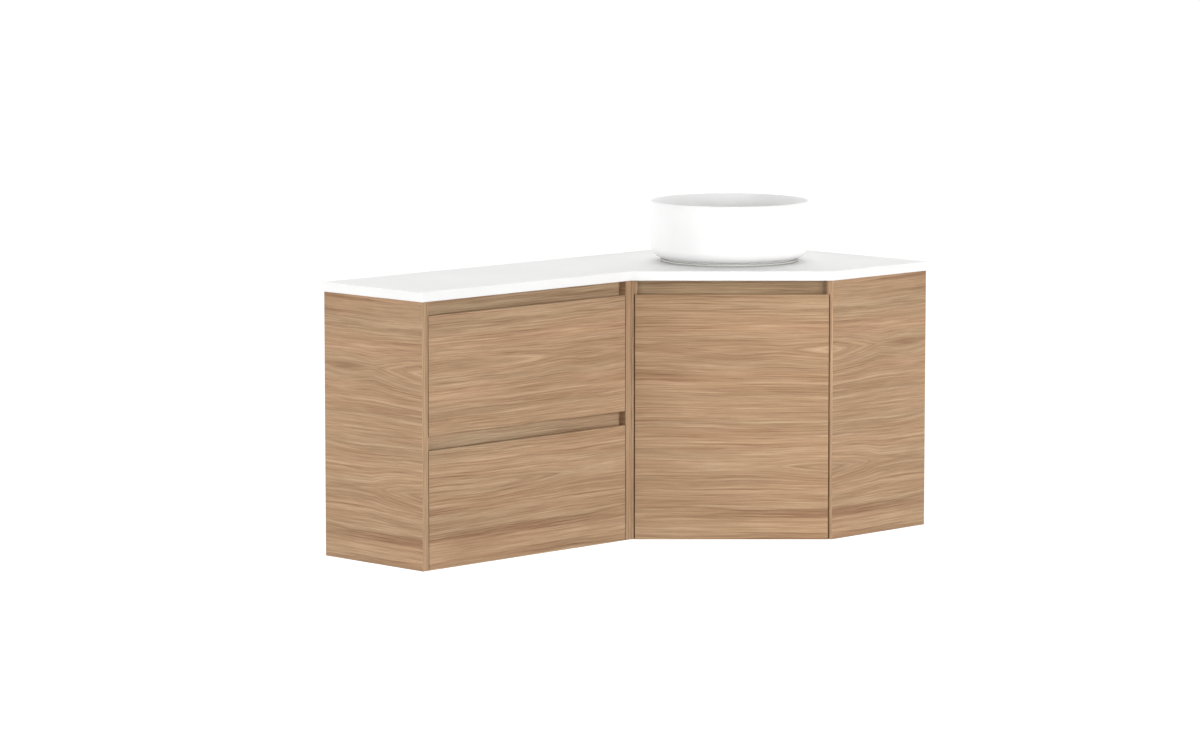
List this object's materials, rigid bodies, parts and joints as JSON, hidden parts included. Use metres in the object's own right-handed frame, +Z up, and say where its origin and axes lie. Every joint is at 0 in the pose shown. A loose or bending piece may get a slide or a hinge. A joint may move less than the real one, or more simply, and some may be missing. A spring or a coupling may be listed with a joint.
{
  "type": "corner vanity unit",
  "caption": "Wall-hung L-shaped bathroom vanity with handleless drawers, a diagonal corner door, white benchtop and round basin.",
  "frame": {"origin": "the inside corner of the two walls, level with the underside of the cabinet", "axes": "+X runs along the back wall towards the corner, +Y points into the back wall, +Z is up"},
  "size_m": [1.2, 0.6, 0.7],
  "materials": {
    "benchtop": "satin white engineered stone",
    "glazed_white": "gloss white glaze",
    "sealant": "white silicone",
    "chrome": "polished chrome plate",
    "rubber": "matt black rubber",
    "zinc_steel": "zinc-plated steel",
    "clear_bumper": "clear soft bumper",
    "timber_face": "matt oak-look board",
    "carcass_white": "white melamine board"
  },
  "bodies": {
    "cabinet": {"benchtop": "benchtop", "basin": "glazed_white", "basin_bead": "sealant", "waste_body": "chrome", "flange_washer": "rubber", "under_washer": "rubber", "waste_nut": "chrome", "drawer_unit_left_side": "timber_face", "drawer_unit_right_side": "timber_face", "drawer_unit_bottom": "timber_face", "drawer_unit_back": "carcass_white", "drawer_unit_hanging_rail": "carcass_white", "drawer_unit_top_rail": "timber_face", "drawer_unit_mid_rail": "timber_face", "corner_unit_left_side": "timber_face", "corner_unit_end_panel": "timber_face", "corner_unit_bottom": "timber_face", "corner_unit_back": "carcass_white", "corner_unit_side_back": "carcass_white", "corner_unit_hanging_rail": "carcass_white", "corner_unit_side_hanging_rail": "carcass_white", "corner_unit_door_rail": "timber_face", "joining_bolts": "zinc_steel", "upper_left_outer_slide": "zinc_steel", "upper_right_outer_slide": "zinc_steel", "lower_left_outer_slide": "zinc_steel", "lower_right_outer_slide": "zinc_steel", "hinge_arms": "zinc_steel", "hinge_plates": "zinc_steel"},
    "upper_drawer": {"upper_drawer_front": "timber_face", "upper_drawer_left_side": "carcass_white", "upper_drawer_right_side": "carcass_white", "upper_drawer_back": "carcass_white", "upper_drawer_base": "carcass_white", "upper_drawer_brackets": "zinc_steel", "upper_drawer_bumpers": "clear_bumper", "upper_left_inner_slide": "zinc_steel", "upper_right_inner_slide": "zinc_steel"},
    "upper_mid_slides": {"upper_left_mid_slide": "zinc_steel", "upper_right_mid_slide": "zinc_steel"},
    "lower_drawer": {"lower_drawer_front": "timber_face", "lower_drawer_left_side": "carcass_white", "lower_drawer_right_side": "carcass_white", "lower_drawer_back": "carcass_white", "lower_drawer_base": "carcass_white", "lower_drawer_brackets": "zinc_steel", "lower_drawer_bumpers": "clear_bumper", "lower_left_inner_slide": "zinc_steel", "lower_right_inner_slide": "zinc_steel"},
    "lower_mid_slides": {"lower_left_mid_slide": "zinc_steel", "lower_right_mid_slide": "zinc_steel"},
    "door": {"door": "timber_face", "door_bumpers": "clear_bumper", "hinge_cups": "zinc_steel", "hinge_links": "zinc_steel"},
    "plug": {"plug_cap": "chrome", "plug_stem": "zinc_steel", "plug_seal": "rubber"}
  },
  "joints": [
    {"name": "upper_drawer_slide", "type": "slide", "parent": "cabinet", "child": "upper_drawer", "axis": [0, -1, 0], "range_m": [0, 0.24]},
    {"name": "upper_mid_slide", "type": "slide", "parent": "cabinet", "child": "upper_mid_slides", "axis": [0, -1, 0], "range_m": [0, 0.12]},
    {"name": "lower_drawer_slide", "type": "slide", "parent": "cabinet", "child": "lower_drawer", "axis": [0, -1, 0], "range_m": [0, 0.24]},
    {"name": "lower_mid_slide", "type": "slide", "parent": "cabinet", "child": "lower_mid_slides", "axis": [0, -1, 0], "range_m": [0, 0.12]},
    {"name": "door_hinge", "type": "hinge", "parent": "cabinet", "child": "door", "pos_m": [-0.30075, -0.58925, 0.26], "axis": [0, 0, 1], "range_deg": [0, 105]},
    {"name": "plug_lift", "type": "slide", "parent": "cabinet", "child": "plug", "axis": [0, 0, 1], "range_m": [0, 0.008]}
  ],
  "couplings": [
    {"joint": "upper_mid_slide", "follows": "upper_drawer_slide", "ratio": 0.5},
    {"joint": "lower_mid_slide", "follows": "lower_drawer_slide", "ratio": 0.5}
  ]
}
